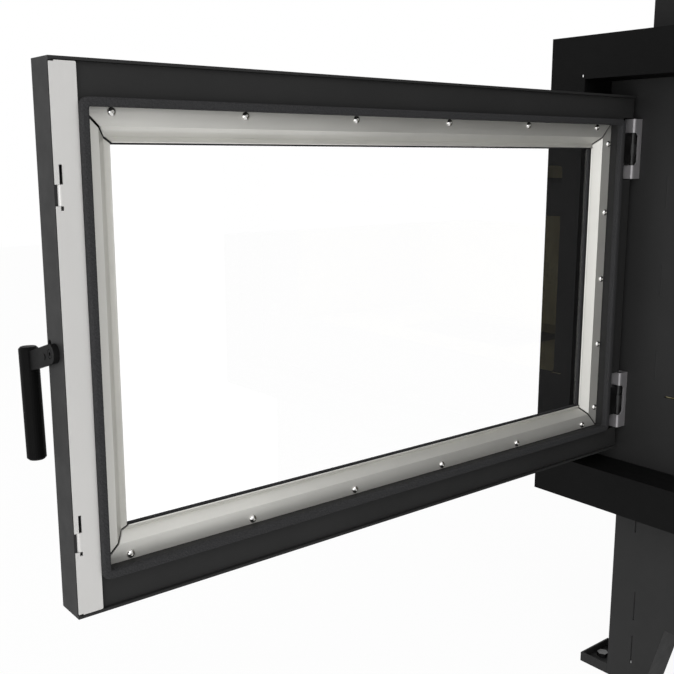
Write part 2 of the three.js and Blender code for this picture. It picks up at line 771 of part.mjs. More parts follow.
function pedestalFront() {
  const top = plateBottom - FIT;
  const sheet = prism(legOutline(BASE_HALF_WIDTH, top), "xz", 0, BASE_SHEET);
  const flanges = [-1, 1].map((side) => {
    const foot = side * (BASE_HALF_WIDTH - LEG_FOOT);
    const head = side * (BASE_HALF_WIDTH - LEG_HEAD);
    const inward = side * BASE_SHEET;
    return prism(
      outline(
        side < 0
          ? [
              [foot, 0],
              [head, ARCH_HEIGHT],
              [head + inward, ARCH_HEIGHT],
              [foot + inward, 0],
            ]
          : [
              [foot, 0],
              [foot + inward, 0],
              [head + inward, ARCH_HEIGHT],
              [head, ARCH_HEIGHT],
            ],
      ),
      "xz",
      BASE_SHEET / 2,
      LEG_FLANGE,
    );
  });
  const slot = (x, z0, z1) => [-1, 1].map((side) => block(side * x - 1.2, side * x + 1.2, -1, BASE_SHEET + 1, z0, z1));
  const slots = [...slot(BASE_HALF_WIDTH - 38.3, 272, 319), ...slot(BASE_HALF_WIDTH - 45, 118, 169), ...slot(BASE_HALF_WIDTH - 45, 38, 90)];
  return cut(join(sheet, ...flanges), ...slots);
}

function pedestalSide(side) {
  const top = plateBottom - BASE_SHEET - FIT;
  const y0 = BASE_SHEET + FIT;
  const shape = outline([
    [y0, 0],
    [y0 + LEG_FOOT, 0],
    [y0 + LEG_HEAD, ARCH_HEIGHT],
    [BASE_DEPTH - LEG_HEAD, ARCH_HEIGHT],
    [BASE_DEPTH - LEG_FOOT, 0],
    [BASE_DEPTH, 0],
    [BASE_DEPTH, top],
    [y0, top],
  ]);
  const [a, b] = side < 0 ? [-BASE_HALF_WIDTH, -BASE_HALF_WIDTH + BASE_SHEET] : [BASE_HALF_WIDTH - BASE_SHEET, BASE_HALF_WIDTH];
  return prism(shape, "yz", a, b);
}

function pedestalBack() {
  const half = BASE_HALF_WIDTH - BASE_SHEET - FIT;
  const top = plateBottom - BASE_SHEET - FIT;
  return prism(legOutline(half, top), "xz", BASE_DEPTH - BASE_SHEET, BASE_DEPTH);
}

// The deck closes the pedestal and carries the jacket; the air spigot hangs through it.
function pedestalDeck() {
  const half = BASE_HALF_WIDTH;
  const deck = block(-half, half, PLATE_SHEET + FIT, BASE_DEPTH, plateBottom - BASE_SHEET, plateBottom);
  return cut(deck, bar("z", SPIGOT_DIAMETER / 2 + 10, 0, inletY, plateBottom - BASE_SHEET - 1, plateBottom + 1, 32));
}

function footTray(side, back) {
  const x0 = BASE_HALF_WIDTH + FIT;
  const x1 = x0 + FOOT_WIDTH;
  const y0 = back ? BASE_DEPTH - FOOT_LENGTH : 0;
  const y1 = y0 + FOOT_LENGTH;
  const [a, b] = side < 0 ? [-x1, -x0] : [x0, x1];
  const inner = side < 0 ? [a + FOOT_SHEET, b + 1] : [a - 1, b - FOOT_SHEET];
  const bolt = footBoltPlace(side, back);
  return cut(
    block(a, b, y0, y1, 0, FOOT_LIP),
    block(inner[0], inner[1], y0 + FOOT_SHEET, y1 - FOOT_SHEET, FOOT_SHEET, FOOT_LIP + 1),
    bar("z", FOOT_BOLT / 2 + FIT, bolt.x, bolt.y, -1, FOOT_SHEET + 1, 16),
  );
}

function footBoltPlace(side, back) {
  return {
    x: side * (BASE_HALF_WIDTH + FIT + FOOT_WIDTH * 0.67),
    y: (back ? BASE_DEPTH - FOOT_LENGTH : 0) + FOOT_LENGTH / 2,
  };
}

function footBolt(side, back) {
  const { x, y } = footBoltPlace(side, back);
  return join(
    bar("z", FOOT_BOLT / 2, x, y, 0, FOOT_SHEET + 2, 16),
    bar("z", FOOT_BOLT * 0.82, x, y, FOOT_SHEET + FIT, FOOT_SHEET + FIT + 7, 6),
  );
}

// ---------------------------------------------------------------- air control
// The three ports of the air box and its slide, as cutting tools.
function airPorts(low, high) {
  const y = PLATE_SHEET + FIT + AIR_PORT_AT;
  return [-1, 0, 1].map((i) => {
    const x = i * AIR_PORT_PITCH;
    return block(x - AIR_PORT / 2, x + AIR_PORT / 2, y, y + AIR_PORT_DEPTH, low, high);
  });
}

function airBox() {
  const half = AIR_BOX_HALF;
  const y0 = PLATE_SHEET + FIT;
  const y1 = y0 + AIR_BOX_DEPTH;
  const z0 = plateBottom + AIR_BOX_STAND;
  const z1 = leverZ + AIR_BOX_ABOVE_LEVER;
  const wall = AIR_BOX_SHEET;
  const box = block(-half, half, y0, y1, z0, z1);
  const hollow = block(-half + wall, half - wall, y0 - 1, y1 - wall, z0 + wall, z1 - wall);
  const ports = airPorts(z1 - wall - 1, z1 + 1);
  const inlet = bar("z", SPIGOT_DIAMETER / 2 - 2.5, 0, inletY, z0 - 1, z0 + wall + 1, 32);
  return cut(box, hollow, inlet, ...ports);
}

function airSpigot() {
  const y = inletY;
  const top = plateBottom + AIR_BOX_STAND - FIT;
  const r = SPIGOT_DIAMETER / 2;
  return cut(
    join(bar("z", r, 0, y, top - SPIGOT_LENGTH, top, 32), bar("z", r + SPIGOT_FLANGE, 0, y, top - 2, top, 32)),
    bar("z", r - 2, 0, y, top - SPIGOT_LENGTH - 1, top + 1, 32),
  );
}

function airSlide() {
  const z1 = leverZ + AIR_BOX_ABOVE_LEVER - AIR_BOX_SHEET - FIT;
  const y0 = PLATE_SHEET + FIT + AIR_PORT_AT - (AIR_SLIDE_DEPTH - AIR_PORT_DEPTH) / 2;
  const half = AIR_BOX_HALF - AIR_TRAVEL - 4;
  const plate = block(-half, half, y0, y0 + AIR_SLIDE_DEPTH, z1 - 2, z1);
  const ports = airPorts(z1 - 3, z1 + 1);
  const stem = block(leverX - LEVER_WIDTH / 2, leverX + LEVER_WIDTH / 2, -LEVER_REACH + 8, y0 + 5, leverZ - 1.5, leverZ + 1.5);
  const riser = block(leverX - LEVER_WIDTH / 2, leverX + LEVER_WIDTH / 2, y0, y0 + 5, leverZ - 1.5, z1 - 1);
  return join(cut(plate, ...ports), stem, riser);
}

function airKnob() {
  const r = KNOB_DIAMETER / 2;
  return cut(
    join(
      bar("y", r, leverX, leverZ, -LEVER_REACH, -LEVER_REACH + 22, 24),
      bar("y", r * 0.7, leverX, leverZ, -LEVER_REACH - 2, -LEVER_REACH, 24, r),
    ),
    block(
      leverX - LEVER_WIDTH / 2 - FIT,
      leverX + LEVER_WIDTH / 2 + FIT,
      -LEVER_REACH + 8 - FIT,
      0,
      leverZ - 1.5 - FIT,
      leverZ + 1.5 + FIT,
    ),
  );
}

// ---------------------------------------------------------------- hinges
// The bracket is a channel on the front plate, with a window across its bend for the door's lug.
function hingeBracket(height) {
  const x1 = pinX + BRACKET_SIDE;
  const x0 = x1 - BRACKET_WIDTH;
  const z0 = DOOR_FLOOR_HEIGHT + height - BRACKET_HEIGHT / 2;
  const z1 = z0 + BRACKET_HEIGHT;
  const y0 = -BRACKET_STAND;
  const t = BRACKET_SHEET;
  const channel = cut(
    prism(outline(rectangle(x0, x1, y0, -FIT), [4.5, 4.5, 0, 0]), "xy", z0, z1, 5),
    prism(outline(rectangle(x0 + t, x1 - t, y0 + t, 1), [1.5, 1.5, 0, 0]), "xy", z0 + t, z1 - t, 3),
  );
  const middle = DOOR_FLOOR_HEIGHT + height;
  const half = HINGE_WINDOW / 2;
  const corner = 5;
  const sideWindow = prism(
    outline([
      [y0 - 1, middle - half],
      [pinY, middle - half],
      [pinY + corner, middle - half + corner],
      [pinY + corner, middle + half - corner],
      [pinY, middle + half],
      [y0 - 1, middle + half],
    ]),
    "yz",
    x1 - t - 1,
    x1 + 1,
  );
  const faceWindow = block(x0 + t, x1 + 1, y0 - 1, y0 + t + 1, middle - half, middle + half);
  const bore = bar("z", PIN_DIAMETER / 2 + FIT, pinX, pinY, z0 + t - 1, z1 + 1, 16);
  return cut(channel, sideWindow, faceWindow, bore);
}

// The pin stands on the bracket's lower end and carries the knuckle on a collar.
function hingePin(height) {
  const middle = DOOR_FLOOR_HEIGHT + height;
  const z0 = middle - BRACKET_HEIGHT / 2 + BRACKET_SHEET - 1 + FIT;
  const under = middle - KNUCKLE_HEIGHT / 2 - FIT;
  return join(
    bar("z", PIN_DIAMETER / 2, pinX, pinY, z0, middle + BRACKET_HEIGHT / 2 - FIT, 16),
    bar("z", PIN_DIAMETER / 2 + 0.7, pinX, pinY, under - 3, under, 16),
  );
}

// In the door frame: the lug's plate is welded in the notch and ends in the knuckle on the pin.
function hingeLug(height) {
  const pinU = -PIN_BEYOND_DOOR;
  const pinN = -PIN_BELOW_RIM;
  const half = LUG_THICKNESS / 2;
  const inner = pinU + PIN_DIAMETER / 2 + 1;
  const outer = NOTCH_LENGTH - FIT;
  const z0 = height - LUG_HEIGHT / 2;
  const z1 = height + LUG_HEIGHT / 2;
  const foot = shellFace + DOOR_SHEET + FIT;
  const plate = prism(
    outline(
      [
        [inner, pinN - half],
        [outer - LUG_THICKNESS, pinN - half],
        [outer - LUG_THICKNESS, foot],
        [outer, foot],
        [outer, pinN + half],
        [inner, pinN + half],
      ],
      [0, LUG_BEND - LUG_THICKNESS, 0, 0, LUG_BEND, 0],
    ),
    "xy",
    z0,
    z1,
    6,
  );
  const k0 = height - KNUCKLE_HEIGHT / 2;
  const k1 = height + KNUCKLE_HEIGHT / 2;
  const neck = block(pinU, inner + 1, pinN - half, pinN + half, k0, k1);
  const knuckle = bar("z", KNUCKLE_DIAMETER / 2, pinU, pinN, k0, k1, 24);
  const bore = bar("z", PIN_DIAMETER / 2 + FIT, pinU, pinN, k0 - 1, k1 + 1, 16);
  return cut(join(plate, neck, knuckle), bore);
}

// ---------------------------------------------------------------- door leaf
const handleEnd = DOOR_WIDTH;
const lockWall = handleEnd - DOOR_SHEET; // inner face of the handle-end wall
const channelWall = handleEnd - LOCK_CHANNEL; // inner wall of the lock channel
const well = {
  left: WELL_BORDER_HINGE,
  right: handleEnd - WELL_BORDER_HANDLE,
  low: WELL_BORDER,
  high: DOOR_HEIGHT - WELL_BORDER,
};
const windowEdge = {
  left: WINDOW_BORDER_HINGE,
  right: handleEnd - WINDOW_BORDER_HANDLE,
  low: WINDOW_BORDER,
  high: DOOR_HEIGHT - WINDOW_BORDER,
};
// A rectangle in the plane of the door, grown on every side.
const grown = ({ left, right, low, high }, by) => rectangle(left - by, right + by, low - by, high + by);

function notchTool(height) {
  return block(-1, NOTCH_LENGTH, -NOTCH_DEPTH, 1, height - NOTCH_HEIGHT / 2, height + NOTCH_HEIGHT / 2);
}

// The outer shell: a folded tray with the window cut in its face and folded back round it.
function doorShell() {
  const t = DOOR_SHEET;
  const tray = cut(
    prism(outline(rectangle(0, handleEnd, shellFace, 0), [DOOR_BEND, DOOR_BEND, 0, DOOR_BEND]), "xy", 0, DOOR_HEIGHT),
    block(t, handleEnd - t, shellFace + t, 1, t, DOOR_HEIGHT - t),
  );
  const lockFlange = block(handleEnd - 11, handleEnd - 1, -COVER_SHEET - t, -COVER_SHEET - FIT, 1, DOOR_HEIGHT - 1);
  const coverSeat = block(handleEnd - t - 1, handleEnd + 1, -COVER_SHEET - FIT, 1, t + 0.9, DOOR_HEIGHT - t - 0.9);
  const plateSeat = block(-1, t, -PLATE_LIP - FIT, 1, t, DOOR_HEIGHT - t);
  const rim = prism(outline(grown(windowEdge, 2)), "xz", shellFace, shellFace + WINDOW_RETURN);
  const window = prism(outline(grown(windowEdge, 0)), "xz", shellFace - 1, 0);
  const arc = driveSlot(handleEnd - t - 1, handleEnd + 1);
  const stud = bar("x", PIVOT_SCREW / 2 + FIT, -PIVOT_DEPTH, PIVOT_HEIGHT, handleEnd - t - 1, handleEnd + 1, 20);
  const openings = LOCK_SLIT_BOTTOMS.flatMap((z) => lockOpenings(z, -COVER_SHEET - t - 1).slice(1));
  const rollRooms = LOCK_SLIT_BOTTOMS.map((z) =>
    block(
      handleEnd - LOCK_RECESS_DEPTH - LOCK_LIP_RADIUS - FIT,
      lockWall,
      -COVER_SHEET - t - 1,
      1,
      z - LOCK_RECESS_HEIGHT - FIT,
      z + FIT,
    ),
  );
  return cut(
    join(tray, lockFlange, rim),
    window,
    coverSeat,
    plateSeat,
    arc,
    stud,
    ...openings,
    ...rollRooms,
    ...HINGE_HEIGHTS.map(notchTool),
  );
}

// The edge recess, slit and small hole where a keeper enters, as cutting tools.
function lockOpenings(slitBottom, deep) {
  const slitEnd = handleEnd - LOCK_SLIT_AT;
  const recessBottom = slitBottom - LOCK_RECESS_HEIGHT;
  const holeBottom = recessBottom - LOCK_HOLE_DROP;
  return [
    block(handleEnd - LOCK_RECESS_DEPTH, handleEnd + 1, deep, 1, recessBottom, slitBottom),
    block(slitEnd - LOCK_SLIT_WIDTH, slitEnd, deep, 1, slitBottom, slitBottom + LOCK_SLIT_HEIGHT),
    block(slitEnd - LOCK_HOLE, slitEnd, deep, 1, holeBottom, holeBottom + LOCK_HOLE * 1.3),
  ];
}

// The arc slot of the handle's drive pin, cut through the handle-end wall.
function driveSlot(from, to) {
  const r = DRIVE_RADIUS;
  const half = DRIVE_PIN / 2 + RUN;
  const steps = 14;
  const inner = [];
  const outer = [];
  for (let i = 0; i <= steps; i += 1) {
    const overrun = 0.05;
    const turn = -overrun + (i / steps) * (HANDLE_TRAVEL + 2 * overrun);
    const angle = Math.PI + DRIVE_ANGLE - turn;
    const at = (radius) => [-PIVOT_DEPTH + radius * Math.cos(angle), PIVOT_HEIGHT + radius * Math.sin(angle)];
    inner.push(at(r - half));
    outer.push(at(r + half));
  }
  const slot = prism(outline([...inner, ...outer.reverse()]), "yz", from, to);
  const ends = [0, 1].map((end) => {
    const angle = Math.PI + DRIVE_ANGLE - end * HANDLE_TRAVEL;
    const y = -PIVOT_DEPTH + r * Math.cos(angle);
    const z = PIVOT_HEIGHT + r * Math.sin(angle);
    return bar("x", half, y, z, from, to, 16);
  });
  return join(slot, ...ends);
}

// The inner plate: a recessed panel with turned edges, pressed down to the well that holds the glass.
function doorInnerPlate() {
  const t = PANEL_SHEET;
  const top = -PLATE_RECESS;
  const gap = DOOR_SHEET + FIT;
  const z0 = gap;
  const z1 = DOOR_HEIGHT - gap;
  const skirt = shellFace + DOOR_SHEET + FIT;
  const panel = prism(
    outline(
      [
        [0, -PLATE_LIP],
        [t, -PLATE_LIP],
        [t, top - t],
        [channelWall - t, top - t],
        [channelWall - t, skirt],
        [channelWall, skirt],
        [channelWall, top],
        [0, top],
      ],
      [0, 0, 1, 0, 0, 0, 2, 3],
    ),
    "xy",
    z0,
    z1,
  );
  const ledgeTop = -WELL_DEPTH;
  const basin = prism(outline(grown(well, t), 3.5), "xz", ledgeTop - t, top);
  const hollow = prism(outline(grown(well, 0), 2.5), "xz", ledgeTop, 1);
  const hole = prism(outline(grown(well, -WELL_LEDGE)), "xz", ledgeTop - t - 1, 1);
  return cut(join(panel, basin), hollow, hole, ...HINGE_HEIGHTS.map(notchTool));
}

function doorGasket() {
  const shape = outline(grown(well, ROPE_OUTSIDE), ROPE_CORNER);
  shape.holes.push(outline(grown(well, -ROPE_INSIDE), 2.5));
  const bevel = 2.2;
  const from = -PLATE_RECESS + FIT;
  const geometry = new THREE.ExtrudeGeometry(shape, {
    depth: ROPE_STAND - from - 2 * bevel,
    bevelEnabled: true,
    bevelThickness: bevel,
    bevelSize: bevel,
    bevelOffset: -bevel,
    bevelSegments: 2,
    curveSegments: 4,
  });
  geometry.rotateX(Math.PI / 2);
  geometry.translate(0, ROPE_STAND - bevel, 0);
  return toSolid(geometry);
}

const stripTop = -WELL_DEPTH + STRIP_SHEET + FIT; // flange of the glass strips
const glassFace = stripTop - STRIP_SLOPE_DROP - 1.4 * STRIP_SHEET - FIT;

function doorGlass() {
  return prism(outline(grown(windowEdge, GLASS_OVERLAP), 4), "xz", glassFace - GLASS_THICKNESS, glassFace);
}

function glassSeal() {
  const from = shellFace + DOOR_SHEET + FIT;
  const to = glassFace - GLASS_THICKNESS - FIT;
  return cut(
    prism(outline(grown(windowEdge, GLASS_OVERLAP), 2), "xz", from, to),
    prism(outline(grown(windowEdge, GLASS_OVERLAP - SEAL_WIDTH)), "xz", from - 1, to + 1),
  );
}

// A glass retaining strip along one side of the well, with mitred ends and domed screws.
// Its section starts at the well's wall: flat flange, slope down to the glass, lip turned up.
function stripSection() {
  const valley = STRIP_FLANGE + STRIP_SLOPE_RUN;
  return sheetSection(
    [
      [0, stripTop],
      [STRIP_FLANGE, stripTop],
      [valley, stripTop - STRIP_SLOPE_DROP],
      [valley + STRIP_LIP_RUN, stripTop - STRIP_SLOPE_DROP + STRIP_LIP_RISE],
    ],
    STRIP_SHEET,
  );
}

function glassStrip(side) {
  const edge = { left: well.left + FIT, right: well.right - FIT, low: well.low + FIT, high: well.high - FIT };
  const { left, right, low, high } = edge;
  const reach = STRIP_FLANGE + STRIP_SLOPE_RUN + STRIP_LIP_RUN + 2;
  const g = (MITRE_GAP / 2) * Math.SQRT2;
  const upright = side === "left" || side === "right";
  const mirror = side === "right" || side === "top";
  const base = { left, right, bottom: low, top: high }[side];
  const section = stripSection().map(([across, n]) => [mirror ? base - across : base + across, n]);
  const strip = upright
    ? prism(outline(section), "xy", low, high)
    : prism(outline(section.map(([across, n]) => [n, across])), "yz", left, right);
  const wedge = {
    left: [
      [left, low + g],
      [left + reach, low + reach + g],
      [left + reach, high - reach - g],
      [left, high - g],
    ],
    right: [
      [right, low + g],
      [right, high - g],
      [right - reach, high - reach - g],
      [right - reach, low + reach + g],
    ],
    bottom: [
      [left + g, low],
      [right - g, low],
      [right - reach - g, low + reach],
      [left + reach + g, low + reach],
    ],
    top: [
      [left + g, high],
      [left + reach + g, high - reach],
      [right - reach - g, high - reach],
      [right - g, high],
    ],
  }[side];
  const mitred = strip.intersect(prism(outline(wedge), "xz", -60, 10));
  const top = stripTop;
  const r = SCREW_HEAD / 2;
  const heads = screwPlaces(side, edge).map(([u, z]) =>
    join(bar("y", r, u, z, top - 0.4, top + 0.8, 10), bar("y", r, u, z, top + 0.79, top + 2.4, 10, r * 0.5)),
  );
  return join(mitred, ...heads);
}

function screwPlaces(side, { left, right, low, high }) {
  if (side === "top" || side === "bottom") {
    const z = side === "top" ? high - SCREW_INSET : low + SCREW_INSET;
    return Array.from({ length: SCREWS_LONG }, (_, i) => [handleEnd - SCREW_FIRST_LONG - i * SCREW_PITCH_LONG, z]);
  }
  const u = side === "left" ? left + SCREW_INSET : right - SCREW_INSET;
  const middle = (SCREWS_SHORT - 1) / 2;
  return Array.from({ length: SCREWS_SHORT }, (_, i) => [u, DOOR_HEIGHT / 2 + (i - middle) * SCREW_PITCH_SHORT]);
}

// The galvanised cover strip over the lock channel.
function lockCover() {
  const u1 = handleEnd - COVER_INSET;
  const u0 = u1 - COVER_WIDTH;
  const z0 = COVER_END_GAP;
  const z1 = DOOR_HEIGHT - COVER_END_GAP;
  const t = COVER_SHEET;
  const face = prism(
    outline(
      [
        [u0, z0],
        [u1 - 5, z0],
        [u1 - 5, z0 + 1.2],
        [u1, z0 + 1.2],
        [u1, z1 - 1.2],
        [u1 - 5, z1 - 1.2],
        [u1 - 5, z1],
        [u0, z1],
      ],
      [1.5, 0, 0, 0, 0, 0, 0, 1.5],
    ),
    "xz",
    -t,
    0,
  );
  const back = block(u0, u0 + t, -PLATE_RECESS + FIT, -t / 2, z0 + 3, z1 - 3);
  const openings = LOCK_SLIT_BOTTOMS.flatMap((z) => lockOpenings(z, -t - 1));
  const edge = handleEnd - LOCK_RECESS_DEPTH;
  const radius = LOCK_LIP_RADIUS;
  const arc = (r) => [0, 1, 2, 3, 4].map((i) => {
    const angle = (i / 4) * (Math.PI / 2);
    return [edge - radius + r * Math.sin(angle), -radius + r * Math.cos(angle)];
  });
  const section = outline([[edge - radius - 0.4, 0], ...arc(radius), ...arc(radius - t).reverse(), [edge - radius - 0.4, -t]]);
  const rolls = LOCK_SLIT_BOTTOMS.map((z) => {
    const bottom = z - LOCK_RECESS_HEIGHT;
    return {
      room: block(edge - radius, handleEnd + 1, -t - 1, 1, bottom, z),
      lip: prism(section, "xy", bottom + 0.2, z - 0.2),
    };
  });
  const opened = cut(join(face, back), ...openings, ...rolls.map(({ room }) => room));
  return cut(join(opened, ...rolls.map(({ lip }) => lip)), ...openings.filter((_, i) => i % 3 > 0));
}

const barTravel = DRIVE_RADIUS * (Math.sin(DRIVE_ANGLE) - Math.sin(DRIVE_ANGLE - HANDLE_TRAVEL));

// The lock bar slides up behind the keepers' noses; the drive pin rides in its slotted tab.
function lockBar() {
  const u1 = handleEnd - 3.6;
  const u0 = u1 - BAR_WIDTH;
  const n1 = -BAR_FACE;
  const n0 = n1 - BAR_THICKNESS;
  const strip = block(u0, u1, n0, n1, LOCK_BAR_INSET, DOOR_HEIGHT - LOCK_BAR_INSET);
  const slitEnd = handleEnd - LOCK_SLIT_AT;
  const windows = LOCK_SLIT_BOTTOMS.map((z) => {
    const bladeBottom = z + LOCK_SLIT_HEIGHT - 1 - KEEPER_HEIGHT;
    return block(slitEnd - LOCK_SLIT_WIDTH - 0.4, slitEnd + 0.4, n0 - 1, n1 + 1, bladeBottom - RUN - barTravel, z + LOCK_SLIT_HEIGHT + 1);
  });
  const pinN = -PIVOT_DEPTH - DRIVE_RADIUS * Math.cos(DRIVE_ANGLE);
  const pinZ = PIVOT_HEIGHT - DRIVE_RADIUS * Math.sin(DRIVE_ANGLE);
  const tab = block(u1 - 3, u1, -DOOR_DEPTH + DOOR_SHEET + 1, n1 - 1, pinZ - LOCK_TAB_HALF, pinZ + LOCK_TAB_HALF);
  const half = DRIVE_NOSE / 2 + RUN;
  const slot = block(u1 - 4, u1 + 1, pinN - half - 2.2, pinN + half + 2.6, pinZ - half, pinZ + half);
  return cut(join(strip, tab), slot, ...windows);
}

// Guides on the channel wall that hold the lock bar.
function lockGuide(height) {
  const u1 = handleEnd - 3.6;
  const u0 = u1 - BAR_WIDTH;
  const n1 = -BAR_FACE;
  const n0 = n1 - BAR_THICKNESS;
  const t = 2;
  const base = block(channelWall + FIT, u1 - 4, n0 - FIT - t, n0 - FIT, height - 10, height + 10);
  const stop = block(channelWall + FIT, u0 - FIT, n0 - FIT - t, n1, height - 10, height + 10);
  return join(base, stop);
}

// ---------------------------------------------------------------- keepers on the front plate
function keeper(slitBottom) {
  const toX = (u) => doorShutLeft + u;
  const toY = (n) => n - (ROPE_STAND + FIT);
  const slitEnd = handleEnd - LOCK_SLIT_AT;
  const middle = toX(slitEnd - LOCK_SLIT_WIDTH / 2);
  const z1 = DOOR_FLOOR_HEIGHT + slitBottom + LOCK_SLIT_HEIGHT - 1;
  const z0 = z1 - KEEPER_HEIGHT;
  const behindBar = toY(-BAR_FACE - BAR_THICKNESS - RUN);
  const tip = toY(-KEEPER_REACH);
  const blade = prism(
    outline([
      [tip, z0 - KEEPER_NOSE],
      [behindBar, z0 - KEEPER_NOSE],
      [behindBar, z0],
      [-FIT, z0],
      [-FIT, z1],
      [tip + 3, z1],
      [tip, z1 - 4],
    ]),
    "yz",
    middle - KEEPER_THICKNESS / 2,
    middle + KEEPER_THICKNESS / 2,
  );
  const flange = block(middle - KEEPER_THICKNESS / 2, middle + KEEPER_FLANGE, -2.3, -FIT, z0 - 8, z1 + 8);
  return join(blade, flange);
}

// ---------------------------------------------------------------- handle
const handleGroup = new THREE.Group();
handleGroup.position.set(handleEnd, -PIVOT_DEPTH, PIVOT_HEIGHT);
doorLeaf.add(handleGroup);

// The handle's own frame: x away from the door's end, y along n, z up, origin on the pivot.
function handleArm() {
  const tip = ARM_REACH;
  const half = ARM_WIDTH / 2;
  const t0 = FIT;
  const t1 = FIT + ARM_THICKNESS;
  const shape = new THREE.Shape();
  shape.absarc(0, 0, half, -Math.PI / 2, Math.PI / 2, false);
  shape.lineTo(-tip, half);
  shape.lineTo(-tip, -half);
  shape.closePath();
  const geometry = new THREE.ExtrudeGeometry(shape, { depth: t1 - t0, bevelEnabled: false, curveSegments: 12 });
  geometry.rotateZ(ARM_DROOP);
  geometry.applyMatrix4(new THREE.Matrix4().set(0, 0, 1, t0, 1, 0, 0, 0, 0, 1, 0, 0, 0, 0, 0, 1));
  const pivot = join(
    bar("x", PIVOT_SCREW / 2 + FIT, 0, 0, -1, t1 + 1, 20),
    bar("x", PIVOT_HEAD / 2 + FIT, 0, 0, t1 - PIVOT_HEAD_DEPTH - FIT, t1 + 1, 24),
  );
  const y = -DRIVE_RADIUS * Math.cos(DRIVE_ANGLE);
  const z = -DRIVE_RADIUS * Math.sin(DRIVE_ANGLE);
  return cut(toSolid(geometry), pivot, bar("x", DRIVE_PIN / 2 + FIT / 2, y, z, -1, t1 + 1, 20));
}

function drivePin() {
  const y = -DRIVE_RADIUS * Math.cos(DRIVE_ANGLE);
  const z = -DRIVE_RADIUS * Math.sin(DRIVE_ANGLE);
  const r = DRIVE_PIN / 2;
  const inside = -(3.6 + 3 + 1.5);
  const shoulder = -(DOOR_SHEET + FIT);
  return join(
    bar("x", r, y, z, shoulder, FIT + ARM_THICKNESS + 0.6, 20),
    bar("x", DRIVE_NOSE / 2, y, z, inside, shoulder + 1, 16),
  );
}

function pivotScrew() {
  const t1 = FIT + ARM_THICKNESS;
  const head = t1 - PIVOT_HEAD_DEPTH;
  return cut(
    join(
      bar("x", PIVOT_SCREW / 2, 0, 0, -DOOR_SHEET, head + 1, 20),
      bar("x", PIVOT_HEAD / 2, 0, 0, head, t1 - 0.4, 24),
      bar("x", PIVOT_HEAD / 2, 0, 0, t1 - 0.4, t1, 24, PIVOT_HEAD / 2 - 0.4),
    ),
    bar("x", 2.3, 0, 0, head + 0.8, t1 + 1, 6),
  );
}

function handleGrip() {
  const r = GRIP_DIAMETER / 2;
  const chamfer = 2.2;
  const profile = [
    [0, 0],
    [r - chamfer, 0],
    [r, chamfer],
    [r, GRIP_LENGTH - chamfer],
    [r - chamfer, GRIP_LENGTH],
    [0, GRIP_LENGTH],
  ].map(([x, y]) => new THREE.Vector2(x, y));
  const geometry = new THREE.LatheGeometry(profile, 28);
  geometry.rotateX(Math.PI / 2);
  const armEnd = -64;
  const armZ = armEnd * Math.tan(ARM_DROOP);
  geometry.translate(0, 0, -GRIP_LENGTH + GRIP_ABOVE_ARM + ARM_WIDTH / 2 - 3);
  geometry.rotateX(GRIP_LEAN);
  geometry.translate(FIT + ARM_THICKNESS / 2, armEnd, armZ);
  const slotShape = outline(rectangle(-ARM_REACH - FIT, -ARM_REACH + 60, -ARM_WIDTH / 2 - FIT, ARM_WIDTH / 2 + FIT));
  const slot = new THREE.ExtrudeGeometry(slotShape, { depth: ARM_THICKNESS + 2 * FIT, bevelEnabled: false });
  slot.rotateZ(ARM_DROOP);
  slot.applyMatrix4(new THREE.Matrix4().set(0, 0, 1, 0, 1, 0, 0, 0, 0, 1, 0, 0, 0, 0, 0, 1));
  return cut(toSolid(geometry), toSolid(slot));
}

// ---------------------------------------------------------------- assembly
place(part, "trim_frame", trimFrame(), blackPaint);
place(part, "front_plate", frontPlate(), plateSteel);
place(part, "firebox_shell", fireboxShell(), plateSteel);
place(part, "smoke_dome", smokeDome(), plateSteel);
place(part, "hearth_plate", hearthPlate(), plateSteel);
place(part, "hearth_board", hearthBoard(), vermiculite);
place(part, "fire_grate", fireGrate(), castIron);
place(part, "ash_pan", ashPan(), zinc);
place(part, "lining_left", sideLining(-1), vermiculite);
place(part, "lining_right", sideLining(1), vermiculite);
place(part, "lining_back", backLining(), vermiculite);
place(part, "baffle_board", baffleBoard(), vermiculite);
place(part, "flame_deflector", flameDeflector(), plateSteel);
place(part, "flue_collar", flueCollar(), plateSteel);
place(part, "jacket_wrap", jacketWrap(), greyPaint);
place(part, "jacket_front", jacketFront(), greyPaint);
place(part, "jacket_top", jacketTop(), greyPaint);
place(part, "pedestal_front", pedestalFront(), greyPaint);
place(part, "pedestal_left", pedestalSide(-1), greyPaint);
place(part, "pedestal_right", pedestalSide(1), greyPaint);
place(part, "pedestal_back", pedestalBack(), greyPaint);
place(part, "pedestal_deck", pedestalDeck(), greyPaint);
for (const [sideName, side] of [["left", -1], ["right", 1]])
  for (const [endName, back] of [["front", false], ["back", true]]) {
    place(part, `foot_${endName}_${sideName}`, footTray(side, back), greyPaint);
    place(part, `foot_bolt_${endName}_${sideName}`, footBolt(side, back), zinc);
  }
place(part, "air_box", airBox(), plateSteel);
place(part, "air_spigot", airSpigot(), zinc);
place(part, "air_slide", airSlide(), hingeSteel);
place(part, "air_knob", airKnob(), gripBlack);
for (const [name, height, slit] of [["bottom", HINGE_HEIGHTS[0], LOCK_SLIT_BOTTOMS[0]], ["top", HINGE_HEIGHTS[1], LOCK_SLIT_BOTTOMS[1]]]) {
  place(part, `hinge_bracket_${name}`, hingeBracket(height), hingeSteel);
  place(part, `hinge_pin_${name}`, hingePin(height), hingeSteel);
  place(part, `keeper_${name}`, keeper(slit), zinc);
  place(doorLeaf, `hinge_lug_${name}`, hingeLug(height), hingeSteel);
  place(doorLeaf, `lock_guide_${name}`, lockGuide(name === "top" ? 380 : 180), zinc);
}
place(doorLeaf, "door_shell", doorShell(), greyPaint);
place(doorLeaf, "door_inner_plate", doorInnerPlate(), greyPaint);
